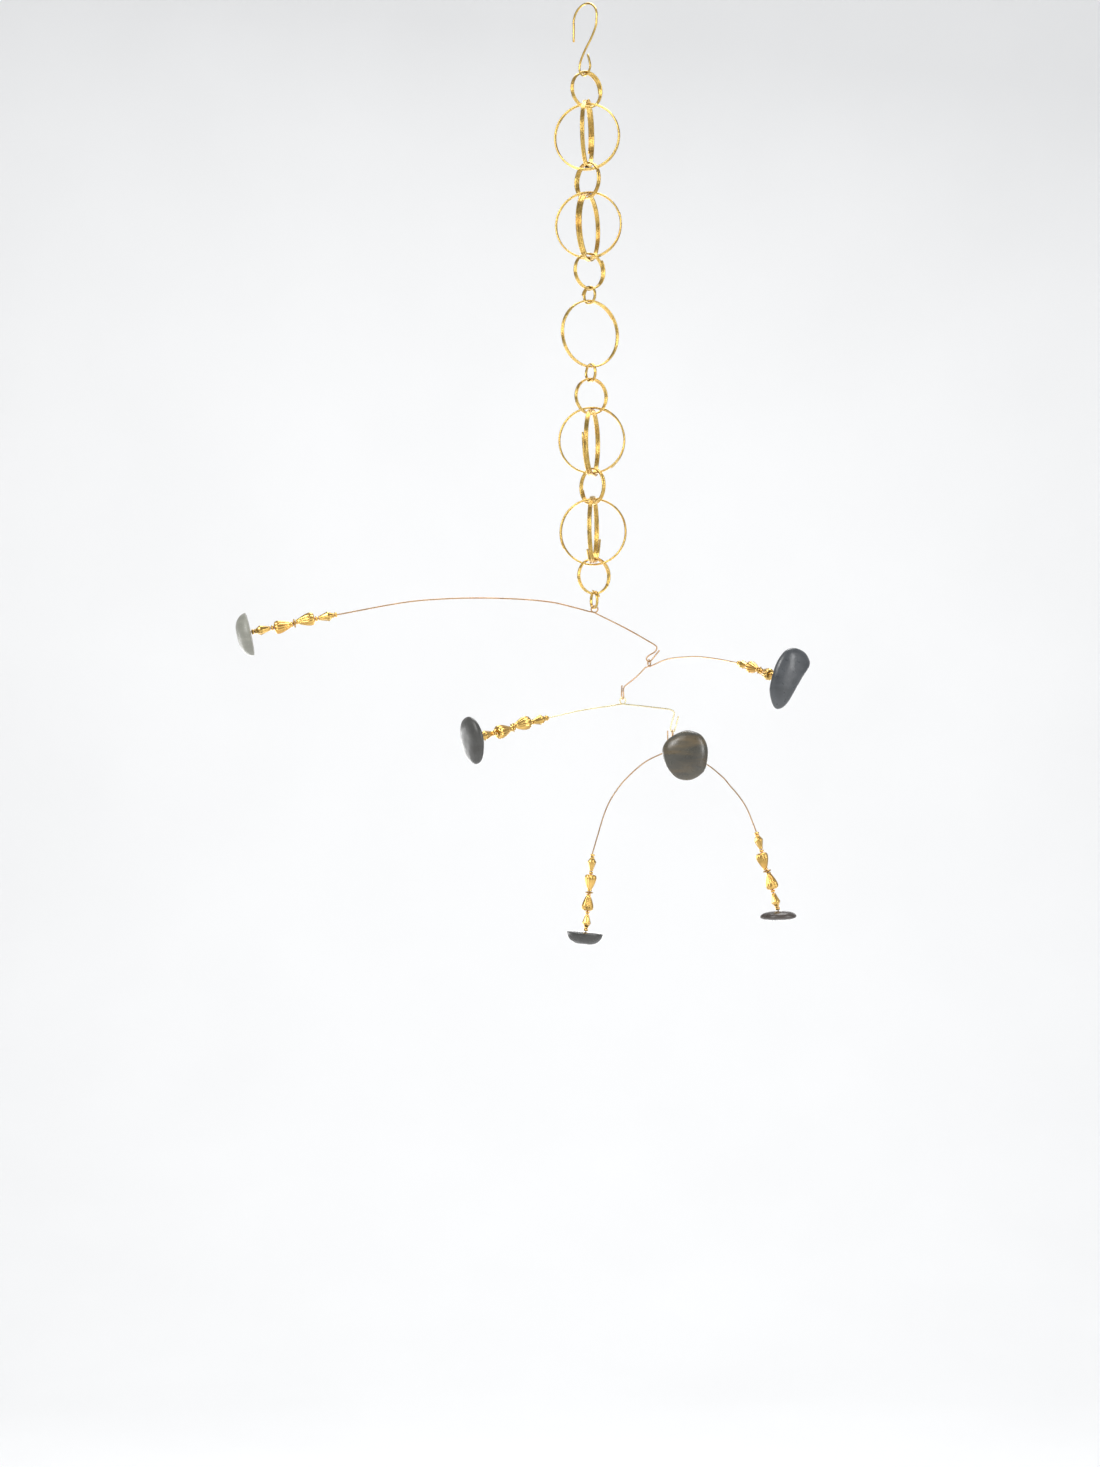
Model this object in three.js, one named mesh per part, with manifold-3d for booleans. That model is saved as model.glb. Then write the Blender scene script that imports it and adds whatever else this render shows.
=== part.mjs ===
// A hanging mobile: a chain of coiled brass rings on an S-hook carries four wire arms and an arch,
// and every free wire end carries a string of beads and a drilled pebble.
// Millimetres, +Z up.  The origin is the top of the S-hook's upper bend, where it bears on its rail.
// X runs to the right, Y runs to the back.
import * as THREE from 'three';
import { mergeVertices } from 'three/addons/utils/BufferGeometryUtils.js';
import Module from 'manifold-3d';

const wasm = await Module();
wasm.setup();

// ---------- driving dimensions ----------
const GAP = 0.3;                 // clearance left where two pieces touch
const HOOK_WIRE = 2.2;           // diameter of the S-hook's wire
const RING_WIRE = 2.0;           // diameter of the wire wound into the rings
const ARM_WIRE = 1.45;           // diameter of the arms' and the arch's wire
const EYE_RADIUS = 3.3;          // centre line of the eye wound in each arm
const EYE_SHIFT = ARM_WIRE + 0.2; // the two passes of an eye lie side by side
const WIRE_SIDES = 5;
const BORE = ARM_WIRE / 2 + GAP; // radius of the hole through every bead and into every pebble
const RINGS = {
  big: { diameter: 67.5, turns: 3, sides: 16 },
  small: { diameter: 38.1, turns: 3, sides: 14 },
  tiny: { diameter: 20, turns: 2, sides: 10 },
};
const GROOVE = 0.6;              // depth of the groove between two turns of a ring
const EDGE_ROUND = 0.4;          // how far a ring's inner edges are rounded off
const CHAIN_LEAN = 0.0155;       // sideways drift of the chain for each millimetre it hangs down

// ---------- materials ----------
const metal = (colour, roughness) => new THREE.MeshStandardMaterial({ color: colour, roughness, metalness: 1 });
const stone = (colour, roughness) => new THREE.MeshStandardMaterial({ color: colour, roughness, metalness: 0 });
const ringBrass = metal(0xb89a42, 0.32);
const beadBrass = metal(0xc8a34b, 0.28);
const hookBrass = metal(0xb08c3c, 0.3);
const copperyWire = metal(0xa07a50, 0.35);
const paleWire = metal(0xd0c69c, 0.3);
const oliveWire = metal(0x8f8a70, 0.35);

const radians = THREE.MathUtils.degToRad;
const mobile = new THREE.Group();

function add(parent, name, geometry, finish) {
  const mesh = new THREE.Mesh(geometry, finish.clone());
  mesh.name = name;
  parent.add(mesh);
  return mesh;
}

// ---------- wires ----------
// A bent wire as a run of points: each point carries its own section, so bends can be dense and
// straight runs sparse.
class WirePath extends THREE.Curve {
  constructor(points) {
    super();
    this.points = points;
  }

  getPointAt(u, target = new THREE.Vector3()) {
    return target.copy(this.points[Math.round(u * (this.points.length - 1))]);
  }

  getTangentAt(u, target = new THREE.Vector3()) {
    const last = this.points.length - 1;
    const index = Math.round(u * last);
    const before = this.points[Math.max(index - 1, 0)];
    const here = this.points[index];
    const after = this.points[Math.min(index + 1, last)];
    const incoming = here.clone().sub(before).normalize();
    const outgoing = after.clone().sub(here).normalize();
    return target.copy(incoming).add(outgoing).normalize();
  }
}

function wire(points, diameter) {
  const section = new THREE.Shape(Array.from({ length: WIRE_SIDES }, (_, side) => {
    const angle = (2 * Math.PI * side) / WIRE_SIDES;
    return new THREE.Vector2(Math.cos(angle), Math.sin(angle)).multiplyScalar(diameter / 2);
  }));
  return new THREE.ExtrudeGeometry(section, {
    steps: points.length - 1,
    extrudePath: new WirePath(points),
    bevelEnabled: false,
  });
}

// A smooth bend through a few [along, up] points, in the wire's own upright plane at one side shift.
function bend(knots, shift, count) {
  const curve = new THREE.CatmullRomCurve3(knots.map(([along, up]) => new THREE.Vector3(along, shift, up)));
  return curve.getSpacedPoints(count);
}

// One full turn round the eye's centre, from the bottom, round to the right, over the top and back.
function eyeTurn(count) {
  return Array.from({ length: count + 1 }, (_, step) => {
    const angle = -Math.PI / 2 + (2 * Math.PI * step) / count;
    const shift = EYE_SHIFT * (step / count - 0.5);
    return new THREE.Vector3(EYE_RADIUS * Math.cos(angle), shift, EYE_RADIUS * Math.sin(angle));
  });
}

function arc(centreAlong, centreUp, halfWidth, halfHeight, from, to, count) {
  return Array.from({ length: count + 1 }, (_, step) => {
    const angle = radians(from + ((to - from) * step) / count);
    return new THREE.Vector3(centreAlong + halfWidth * Math.cos(angle), 0, centreUp + halfHeight * Math.sin(angle));
  });
}

// ---------- the S-hook ----------
const HOOK_TURN = -52;
const HOOK_BEND = { halfWidth: 18.4, halfHeight: 15 };  // the upper bend clears a 25.4 mm rail
const HOOK_LOOP = { along: -0.4, radius: 8.6, bottom: -70.2 };

function hookPoints() {
  const top = arc(0, HOOK_WIRE / 2 - HOOK_BEND.halfHeight, HOOK_BEND.halfWidth, HOOK_BEND.halfHeight, 190, -10, 12);
  const loopCentre = HOOK_LOOP.bottom + HOOK_LOOP.radius;
  const sweep = bend([[17.2, -24], [9.7, -35], [0, -45], [-7, -54.5]], 0, 5);
  const loop = arc(HOOK_LOOP.along, loopCentre, HOOK_LOOP.radius, HOOK_LOOP.radius, 180, 360, 8);
  const backEnd = new THREE.Vector3(-18.3, 0, -33);
  const tip = new THREE.Vector3(4.2, 0, -50.5);
  return [backEnd, ...top, ...sweep, ...loop, tip];
}

const hook = new THREE.Group();
hook.rotation.z = radians(HOOK_TURN);
mobile.add(hook);
add(hook, 's_hook', wire(hookPoints(), HOOK_WIRE), hookBrass);

// ---------- the chain of coiled rings ----------
function ringShape(kind) {
  const { diameter, turns, sides } = RINGS[kind];
  const outer = diameter / 2;
  const flat = outer - RING_WIRE;
  const inner = flat / Math.cos(Math.PI / sides);
  const width = turns * RING_WIRE;
  return { outer, inner, flat, width, turns, sides };
}

// A ring: its axis is local Y, and its outside shows the turns as ridges with grooves between them.
function ringGeometry(kind) {
  const { outer, inner, width, turns, sides } = ringShape(kind);
  const crests = Array.from({ length: turns }, (_, turn) => (turn + 0.5) * RING_WIRE - width / 2);
  const between = (crest) => new THREE.Vector2(outer - GROOVE, crest - RING_WIRE / 2);
  const outside = crests.flatMap((crest) => [between(crest), new THREE.Vector2(outer, crest)]).slice(1);
  const first = new THREE.Vector2(inner, EDGE_ROUND - width / 2);
  const last = new THREE.Vector2(inner, width / 2 - EDGE_ROUND);
  const profile = [first, ...outside, last, first.clone()];
  const ring = new THREE.LatheGeometry(profile, sides);
  ring.rotateY(Math.PI / 2);
  return ring;
}

const sag = (radius, reach) => radius - Math.sqrt(radius * radius - reach * reach);

// Half the length of ring that lies over a band of the given width, when the two cross at an angle.
function crossingReach(ringWidth, bandWidth, angle) {
  const cosine = Math.abs(Math.cos(radians(angle)));
  const sine = Math.abs(Math.sin(radians(angle)));
  return (bandWidth * cosine + ringWidth) / (2 * sine);
}

// How far a hanging ring's inner top stands above the seat's inner bottom: each band's edges meet
// the other's curve at the corners of the crossing.
function crossingRise(seat, ring, angle) {
  const overSeat = sag(seat.flat, crossingReach(ring.width, seat.width, angle));
  const overRing = sag(ring.flat, crossingReach(seat.width, ring.width, angle));
  return overSeat + overRing + GAP;
}

// Each ring hangs in the one before it.  turn is the ring's heading in degrees.  In a pair, the first
// ring lies on the seat and the second lies over the first, and both carry the next ring.
const CHAIN = [
  ['ring_small_1', 'small', 36],
  ['ring_pair_1_front', 'big', -14, 'ring_pair_1_side', 81],
  ['ring_small_2', 'small', -52],
  ['ring_pair_2_side', 'big', 72, 'ring_pair_2_front', -10],
  ['ring_small_3', 'small', 36],
  ['ring_tiny_1', 'tiny', -50],
  ['ring_single', 'big', 33],
  ['ring_tiny_2', 'tiny', -60],
  ['ring_small_4', 'small', 31],
  ['ring_pair_3_side', 'big', 78, 'ring_pair_3_front', -8],
  ['ring_small_5', 'small', -52],
  ['ring_pair_4_front', 'big', -10, 'ring_pair_4_side', 82],
  ['ring_small_6', 'small', 30],
  ['ring_tiny_3', 'tiny', -68],
];

function hangRing(name, kind, turn, height) {
  const ring = add(mobile, name, ringGeometry(kind), ringBrass);
  ring.position.set(-height * CHAIN_LEAN, 0, height);
  ring.rotation.z = radians(turn);
}

let seat = { flat: HOOK_LOOP.radius - HOOK_WIRE, width: HOOK_WIRE };
let seatTurn = HOOK_TURN;
let seatBottom = HOOK_LOOP.bottom + HOOK_WIRE / 2;
for (const [name, kind, turn, upperName, upperTurn] of CHAIN) {
  const shape = ringShape(kind);
  let height = seatBottom + crossingRise(seat, shape, turn - seatTurn) - shape.flat;
  hangRing(name, kind, turn, height);
  seatTurn = turn;
  if (upperName) {
    const reach = crossingReach(shape.width, shape.width, upperTurn - turn);
    height += shape.outer - shape.flat + sag(shape.flat, reach) + GAP;
    hangRing(upperName, kind, upperTurn, height);
    seatTurn = upperTurn;
  }
  seat = shape;
  seatBottom = height - shape.flat;
}

// ---------- beads ----------
// Every bead is turned about its own bore: [distance along the wire, radius] pairs, from the wire's
// free end towards the pebble.  The seed beads at a bicone's ends are part of it.
const BICONE = [[0, 1.9], [1.5, 2.6], [3, 1.8], [8.9, 4.6], [18.4, 1.9], [20.4, 2.6], [22.3, 1.7]];
const DROP = [[0, 3], [2, 5.9], [4.6, 6.5], [9.5, 5.5], [18.7, 2.3]];
const DISC = [[0, 2.6], [1.4, 4.5], [2.8, 2.6]];
const BICONE_SIDES = 8;
const DROP_SIDES = 9;
const DISC_SIDES = 6;
const lengthOf = (profile) => profile[profile.length - 1][0];
const mirrored = (profile) => profile.map(([along, radius]) => [lengthOf(profile) - along, radius]).reverse();
const STRING = [
  ['bicone_1', BICONE, BICONE_SIDES],
  ['drop_1', DROP, DROP_SIDES],
  ['disc', DISC, DISC_SIDES],
  ['drop_2', mirrored(DROP), DROP_SIDES],
  ['bicone_2', mirrored(BICONE), BICONE_SIDES],
];
const STRING_LENGTH = STRING.reduce((sum, [, profile]) => sum + lengthOf(profile) + GAP, 0);

function beadGeometry(profile, sides, scale, start) {
  const end = lengthOf(profile);
  const ringed = [[0, BORE / scale], ...profile, [end, BORE / scale], [0, BORE / scale]];
  const points = ringed.map(([along, radius]) => new THREE.Vector2(radius * scale, along * scale));
  const bead = new THREE.LatheGeometry(points, sides);
  bead.rotateZ(-Math.PI / 2);
  bead.rotateX(Math.PI / sides);
  bead.translate(start, 0, 0);
  return bead;
}

// ---------- pebbles ----------
const PEBBLE_SIDES = 12;
const PEBBLE_ROWS = 7;
const PEBBLE_FULLNESS = 0.8;     // below 1, the domes are fuller than an ellipse

function solidOf(geometry) {
  const bare = geometry.clone();
  bare.deleteAttribute('normal');
  bare.deleteAttribute('uv');
  const merged = mergeVertices(bare, 1e-4);
  return new wasm.Manifold(new wasm.Mesh({
    numProp: 3,
    vertProperties: new Float32Array(merged.attributes.position.array),
    triVerts: new Uint32Array(merged.index.array),
  }));
}

function geometryOf(solid) {
  const mesh = solid.getMesh();
  const geometry = new THREE.BufferGeometry();
  geometry.setAttribute('position', new THREE.BufferAttribute(mesh.vertProperties, 3));
  geometry.setIndex(new THREE.BufferAttribute(mesh.triVerts, 1));
  return geometry;
}

// A worn pebble: its rim is a closed curve through [across, up] points round the drilled hole, and
// both sides are domed over the rim's middle, the outer one by face and the inner one by back.
function pebbleGeometry({ rim, face, back }) {
  const curve = new THREE.CatmullRomCurve3(rim.map(([across, up]) => new THREE.Vector3(0, across, up)), true);
  const edge = curve.getSpacedPoints(PEBBLE_SIDES).slice(0, PEBBLE_SIDES);
  const middle = edge.reduce((sum, point) => sum.add(point), new THREE.Vector3()).divideScalar(PEBBLE_SIDES);
  const ball = new THREE.SphereGeometry(1, PEBBLE_SIDES, PEBBLE_ROWS);
  const position = ball.attributes.position;
  for (let index = 0; index < position.count; index += 1) {
    const height = position.getY(index);
    const spread = Math.sqrt(Math.max(0, 1 - height * height)) ** PEBBLE_FULLNESS;
    const point = edge[index % (PEBBLE_SIDES + 1) % PEBBLE_SIDES].clone().sub(middle).multiplyScalar(spread).add(middle);
    position.setXYZ(index, height * (height > 0 ? face : back), point.y, point.z);
  }
  return ball;
}

// ---------- arms ----------
const EYE_IN_RING = 1.2;         // the first arm's eye centre below the last ring's inner bottom
const UPRIGHT = 30;              // strings within this many degrees of hanging straight down aren't turned over
const DRILL_LENGTH = 16;
const PEBBLE_GRIP = 4;           // how deep a wire end sits in its pebble
const WIRE_END_ROOM = 1;         // the drilled hole goes this much deeper

// A string of beads with its pebble at the end.  The wire's free end starts at [along, up] and heads
// away at the given slope; side is the wire's side shift.
function beadString(arm, name, start, slope, side, scale, pebble) {
  const string = new THREE.Group();
  string.position.set(start[0], side, start[1]);
  string.rotation.y = -radians(slope);
  arm.add(string);
  let reach = 0;
  for (const [bead, profile, sides] of STRING) {
    add(string, `${name}_${bead}`, beadGeometry(profile, sides, scale, reach), beadBrass);
    reach += (lengthOf(profile) + GAP) * scale;
  }
  const shell = pebbleGeometry(pebble);
  shell.rotateX(Math.abs(slope) > 90 + UPRIGHT ? Math.PI : 0);
  shell.rotateY(radians(pebble.nod ?? 0));
  shell.translate(reach + pebble.back + (pebble.clearance ?? 0), 0, 0);
  const drill = new THREE.CylinderGeometry(BORE, BORE, DRILL_LENGTH, 8);
  drill.rotateZ(Math.PI / 2);
  drill.translate(reach + PEBBLE_GRIP + WIRE_END_ROOM - DRILL_LENGTH / 2, 0, 0);
  const drilled = geometryOf(solidOf(shell).subtract(solidOf(drill)));
  add(string, `${name}_pebble`, drilled, stone(pebble.colour, pebble.roughness));
}

function stringEnd(start, slope, scale) {
  const reach = STRING_LENGTH * scale + PEBBLE_GRIP;
  return [start[0] + reach * Math.cos(radians(slope)), start[1] + reach * Math.sin(radians(slope))];
}

// Rims of the six pebbles, seen from outside with the wire's hole at [0, 0].  The two low ones hang
// flat: their first value runs to the back and their second to the right.
const LEFT_RIM = [[0, 19.5], [-10, 16.5], [-16, 6], [-16.5, -6], [-11, -18], [0, -23.5], [11, -18], [17, -5], [15, 8],
  [9, 16.5]];
const RIGHT_RIM = [[5, 29], [-4, 26], [-11.5, 15], [-15, 0], [-15.5, -13], [-9.5, -26], [-3, -28.5], [4, -23.5],
  [11.5, -10], [18, 2], [24.5, 13.5], [22, 20.5], [16, 26]];
const CENTRE_RIM = [[-1, 22], [-10.5, 17.5], [-15.5, 6], [-16, -7], [-11.5, -19], [-2, -25.3], [8, -21.5], [14.5, -10],
  [16.5, 3], [13, 14], [7, 20]];
const FRONT_RIM = [[10.8, 27.8], [3.3, 27], [-8.1, 21.3], [-14.8, 13.8], [-16.4, 4.3], [-11.9, -8.9], [-2.5, -19.4],
  [10.8, -22], [24, -14.5], [28.2, -3.2], [28.2, 11.9], [22.1, 23.2]];
const LOW_LEFT_RIM = [[15, -2], [12, 10], [5, 17], [-2, 18.2], [-10, 12], [-14, 1], [-13, -10], [-5, -19], [3, -20.3],
  [12, -13]];
const LOW_RIGHT_RIM = [[13, 0], [10, 11], [2, 18], [-8, 14], [-13, 3], [-11.5, -10], [-3, -19.5], [2, -20.8],
  [10.5, -11]];

// An arm hangs by its eye from a seat point, in an upright plane with the given heading.
function hangArm(parent, seatPoint, turn) {
  const arm = new THREE.Group();
  arm.position.copy(seatPoint);
  arm.rotation.z = radians(turn);
  parent.add(arm);
  return arm;
}

const BEFORE = -EYE_SHIFT / 2;
const AFTER = EYE_SHIFT / 2;
const EYE_STEPS = 10;
const along = ([x, z], side) => new THREE.Vector3(x, side, z);

// arm 1: long and arched, its pebble far out to the left, its hook on the right
const ARM_1 = { start: [-256.4, -6.7], slope: 180 + 11.6 };
const arm1 = hangArm(mobile, new THREE.Vector3(-seatBottom * CHAIN_LEAN, 0, seatBottom - EYE_IN_RING), 6);
add(arm1, 'arm_1', wire([
  along(stringEnd(ARM_1.start, ARM_1.slope, 1), BEFORE),
  ...bend([ARM_1.start, [-192.6, 5.4], [-152.6, 9.4], [-112.6, 10.6], [-72.6, 9.5], [-43, 6.7], [-23.5, 2.4],
    [-6, -2.2]], BEFORE, 9),
  ...eyeTurn(EYE_STEPS),
  ...bend([[6, -6.4], [32.5, -19.4], [59.6, -34.6]], AFTER, 2),
  ...bend([[63, -37.8], [61.2, -42.2], [55.4, -45.8], [52.6, -48.8], [53.3, -51.4], [55.4, -52.3], [57.6, -50.8],
    [65.6, -40.9]], AFTER, 12),
], ARM_WIRE), copperyWire);
beadString(arm1, 'left', ARM_1.start, ARM_1.slope, BEFORE, 1,
  { rim: LEFT_RIM, face: 13, back: 1.8, colour: 0x8f8f80, roughness: 0.6 });

// arm 2: on arm 1's hook, its pebble to the right and well forward, its hook on the left
const ARM_2 = { start: [161, -3.6], slope: -12, scale: 0.88 };
const arm2 = hangArm(arm1, new THREE.Vector3(55.5, AFTER, -53.8), -66.9);
add(arm2, 'arm_2', wire([
  ...bend([[-52, -21.5], [-52.8, -32.5], [-50.8, -35.6], [-48.8, -33.2], [-49.4, -26.8], [-47.8, -23.4], [-44, -21.3]],
    BEFORE, 11),
  ...bend([[-23, -13], [-6, -4.2]], BEFORE, 1),
  ...eyeTurn(EYE_STEPS),
  ...bend([[6, -2.1], [24, 1.8], [44, 4], [82, 4.4], [107, 2.8], [132, 0.2], ARM_2.start], AFTER, 8),
  along(stringEnd(ARM_2.start, ARM_2.slope, ARM_2.scale), AFTER),
], ARM_WIRE), copperyWire);
beadString(arm2, 'right', ARM_2.start, ARM_2.slope, AFTER, ARM_2.scale,
  { rim: RIGHT_RIM, face: 8, back: 5, colour: 0x3b4044, roughness: 0.35 });

// arm 3: on arm 2's hook, its pebble forward to the left, its hook back to the right
const ARM_3 = { start: [-98, -17.9], slope: 180 + 12.5, scale: 1.05 };
const arm3 = hangArm(arm2, new THREE.Vector3(-50.8, BEFORE, -36.95), 99.4);
add(arm3, 'arm_3', wire([
  along(stringEnd(ARM_3.start, ARM_3.slope, ARM_3.scale), BEFORE),
  ...bend([ARM_3.start, [-58, -10.7], [-18, -5.6], [-6, -4]], BEFORE, 5),
  ...eyeTurn(EYE_STEPS),
  ...bend([[6, -3.9], [30, -5.6], [64, -8.4]], AFTER, 2),
  ...bend([[69.2, -10.3], [70.4, -13.4], [68, -20], [65.3, -27.5], [65.9, -30.8], [68.4, -32], [71.2, -29.6],
    [76.2, -15.6]], AFTER, 12),
], ARM_WIRE), paleWire);
beadString(arm3, 'centre', ARM_3.start, ARM_3.slope, BEFORE, ARM_3.scale,
  { rim: CENTRE_RIM, face: 6.5, back: 5.5, colour: 0x3c3f38, roughness: 0.4 });

// arm 4: on arm 3's hook, running from front to back, its pebble in front and its hook behind
const ARM_4 = { start: [-28, -13], slope: 180 + 7.5 };
const arm4 = hangArm(arm3, new THREE.Vector3(68.4, AFTER, -33.25), 51.4);
add(arm4, 'arm_4', wire([
  along(stringEnd(ARM_4.start, ARM_4.slope, 1), BEFORE),
  ...bend([ARM_4.start, [-16, -9.5], [-5.5, -4.8]], BEFORE, 3),
  ...eyeTurn(EYE_STEPS),
  ...bend([[6, -4], [50, -8.5], [84, -12]], AFTER, 3),
  ...bend([[89.6, -13.2], [91.4, -15.6], [94, -16.5], [96.4, -14], [98.5, 2.5]], AFTER, 9),
], ARM_WIRE), copperyWire);
beadString(arm4, 'front', ARM_4.start, ARM_4.slope, BEFORE, 1,
  { rim: FRONT_RIM, face: 9, back: 5, colour: 0x3f3d30, roughness: 0.3 });

// the arch: on arm 4's hook, with a bead string and a pebble hanging from each end
const ARCH_LEFT = { start: [-80.9, -111.4], slope: -94.8, scale: 0.965 };
const ARCH_RIGHT = { start: [94.8, -87.9], slope: -74.4, scale: 1.01 };
const arch = hangArm(arm4, new THREE.Vector3(93.8, AFTER, -18), -90);
add(arch, 'arch_wire', wire([
  along(stringEnd(ARCH_LEFT.start, ARCH_LEFT.slope, ARCH_LEFT.scale), BEFORE),
  ...bend([ARCH_LEFT.start, [-75.9, -94.1], [-68.4, -69.5], [-61.4, -53.5], [-50.9, -38], [-42.2, -28.4],
    [-31, -18.2], [-20.3, -10.7], [-6, -4]], BEFORE, 12),
  ...eyeTurn(EYE_STEPS),
  ...bend([[6, -3.6], [24, -7.5], [42.2, -16], [58.8, -29.4], [66.6, -38.5], [76.3, -49.9], [85.3, -64.2],
    ARCH_RIGHT.start], AFTER, 12),
  along(stringEnd(ARCH_RIGHT.start, ARCH_RIGHT.slope, ARCH_RIGHT.scale), AFTER),
], ARM_WIRE), oliveWire);
beadString(arch, 'low_left', ARCH_LEFT.start, ARCH_LEFT.slope, BEFORE, ARCH_LEFT.scale,
  { rim: LOW_LEFT_RIM, face: 12.5, back: 1.8, colour: 0x2e2f2b, roughness: 0.25 });
beadString(arch, 'low_right', ARCH_RIGHT.start, ARCH_RIGHT.slope, AFTER, ARCH_RIGHT.scale,
  { rim: LOW_RIGHT_RIM, face: 4, back: 6.3, nod: 14, clearance: 0.8, colour: 0x37312f, roughness: 0.3 });

export default mobile;
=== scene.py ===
"""A hanging mobile of coiled brass rings, wire arms, bead strings and pebbles.

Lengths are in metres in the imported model's frame: the origin is where the S-hook bears on its rail,
+Z is up, +X to the right and +Y to the back.
"""
import math

import bpy
import numpy as np
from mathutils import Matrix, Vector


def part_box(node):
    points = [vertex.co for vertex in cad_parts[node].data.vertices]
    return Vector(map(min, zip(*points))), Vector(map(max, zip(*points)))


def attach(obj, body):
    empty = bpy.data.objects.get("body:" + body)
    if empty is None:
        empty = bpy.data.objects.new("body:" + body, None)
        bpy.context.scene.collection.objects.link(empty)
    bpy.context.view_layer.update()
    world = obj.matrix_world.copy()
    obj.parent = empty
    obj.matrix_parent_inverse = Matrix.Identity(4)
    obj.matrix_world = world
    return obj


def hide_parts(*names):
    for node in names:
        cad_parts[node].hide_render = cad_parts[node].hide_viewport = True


bl_info = {
    "name": "Hanging mobile",
    "version": (1, 0, 0),
    "blender": (4, 5, 0),
    "location": "View3D > Sidebar > Mobile",
    "description": "Builds a hanging mobile of coiled rings, wire arms, beads and pebbles",
    "category": "Object",
}

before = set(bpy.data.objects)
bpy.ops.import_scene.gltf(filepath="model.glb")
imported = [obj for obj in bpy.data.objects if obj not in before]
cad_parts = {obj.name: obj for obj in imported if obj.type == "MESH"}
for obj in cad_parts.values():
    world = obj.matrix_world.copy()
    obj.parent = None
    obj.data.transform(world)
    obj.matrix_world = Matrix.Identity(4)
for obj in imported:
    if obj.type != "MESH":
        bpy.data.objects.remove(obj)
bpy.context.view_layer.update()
MM = 0.001
TAU = 2 * math.pi
UP = np.array([0.0, 0.0, 1.0])

RING_NODES = {
    "big": ["ring_pair_1_front", "ring_pair_1_side", "ring_pair_2_side", "ring_pair_2_front", "ring_single",
            "ring_pair_3_side", "ring_pair_3_front", "ring_pair_4_front", "ring_pair_4_side"],
    "small": [f"ring_small_{number}" for number in range(1, 7)],
    "tiny": [f"ring_tiny_{number}" for number in range(1, 4)],
}
STRINGS = ("left", "right", "centre", "front", "low_left", "low_right")


# ---------- sizes and colours a user may change ----------
class MOBILE_PG_sizes(bpy.types.PropertyGroup):
    """Sizes of the wires and of the relief on the beads."""

    ring_wire: bpy.props.FloatProperty(
        name="Ring wire", description="Diameter of the wire wound into the rings",
        default=1.8 * MM, unit="LENGTH")
    ring_turns: bpy.props.FloatProperty(
        name="Ring turns", description="Turns of wire in a big or a small ring", default=3.35)
    tiny_turns: bpy.props.FloatProperty(
        name="Tiny ring turns", description="Turns of wire in a tiny ring", default=2.2)
    arm_wire: bpy.props.FloatProperty(
        name="Arm wire", description="Diameter of the wire of the arms and the arch",
        default=1.45 * MM, unit="LENGTH")
    hook_wire: bpy.props.FloatProperty(
        name="Hook wire", description="Diameter of the S-hook's wire", default=2.2 * MM, unit="LENGTH")
    bicone_ridges: bpy.props.IntProperty(
        name="Bicone ridges", description="Ridges round each bicone bead", default=8)
    drop_flutes: bpy.props.IntProperty(
        name="Drop flutes", description="Flutes round each drop bead", default=16)


class MOBILE_PG_colours(bpy.types.PropertyGroup):
    """Colours of the metals and the stones."""

    ring_brass: bpy.props.FloatVectorProperty(
        name="Ring brass", description="Yellow brass of the coiled rings", subtype="COLOR",
        default=(0.62, 0.43, 0.13))
    bead_brass: bpy.props.FloatVectorProperty(
        name="Bead brass", description="Warm gold of the beads", subtype="COLOR",
        default=(0.72, 0.46, 0.14))
    arm_brass: bpy.props.FloatVectorProperty(
        name="Arm wire", description="Coppery brown of the arm wires", subtype="COLOR",
        default=(0.52, 0.34, 0.19))
    pale_wire: bpy.props.FloatVectorProperty(
        name="Pale wire", description="Pale gold of the third arm", subtype="COLOR",
        default=(0.78, 0.70, 0.42))
    dark_stone: bpy.props.FloatVectorProperty(
        name="Dark stone", description="Ground colour of the dark pebbles", subtype="COLOR",
        default=(0.035, 0.034, 0.030))
    pale_stone: bpy.props.FloatVectorProperty(
        name="Pale stone", description="Ground colour of the pale pebble", subtype="COLOR",
        default=(0.20, 0.20, 0.17))


# ---------- mesh helpers ----------
def grid_faces(rows, columns, close_rows=False, close_columns=True):
    """Quads of a grid of points stored row by row, wrapped round where a direction is closed."""
    row = np.arange(rows if close_rows else rows - 1)
    column = np.arange(columns if close_columns else columns - 1)
    here, there = np.meshgrid(row, column, indexing="ij")
    next_row = (here + 1) % rows
    next_column = (there + 1) % columns
    quads = np.stack([here * columns + there, here * columns + next_column,
                      next_row * columns + next_column, next_row * columns + there], axis=-1)
    return quads.reshape(-1, 4)


def make_piece(name, parts, material, node):
    """One object from (points, quads, caps) parts: it replaces its CAD node and rides on the root."""
    points, faces, offset = [], [], 0
    for part_points, quads, caps in parts:
        points.append(part_points)
        faces.extend((quads + offset).tolist())
        faces.extend((np.asarray(cap) + offset).tolist() for cap in caps)
        offset += len(part_points)
    mesh = bpy.data.meshes.new(name)
    mesh.from_pydata(np.concatenate(points).tolist(), [], faces)
    mesh.validate()
    mesh.shade_smooth()
    piece = bpy.data.objects.new(name, mesh)
    bpy.context.scene.collection.objects.link(piece)
    mesh.materials.append(material)
    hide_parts(node)
    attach(piece, "root")
    return piece


DOME_RISE = 0.35    # a wire end's dome stands out by this share of the wire's radius
DOME_WIDTH = 0.72   # and is this share of it wide


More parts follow.
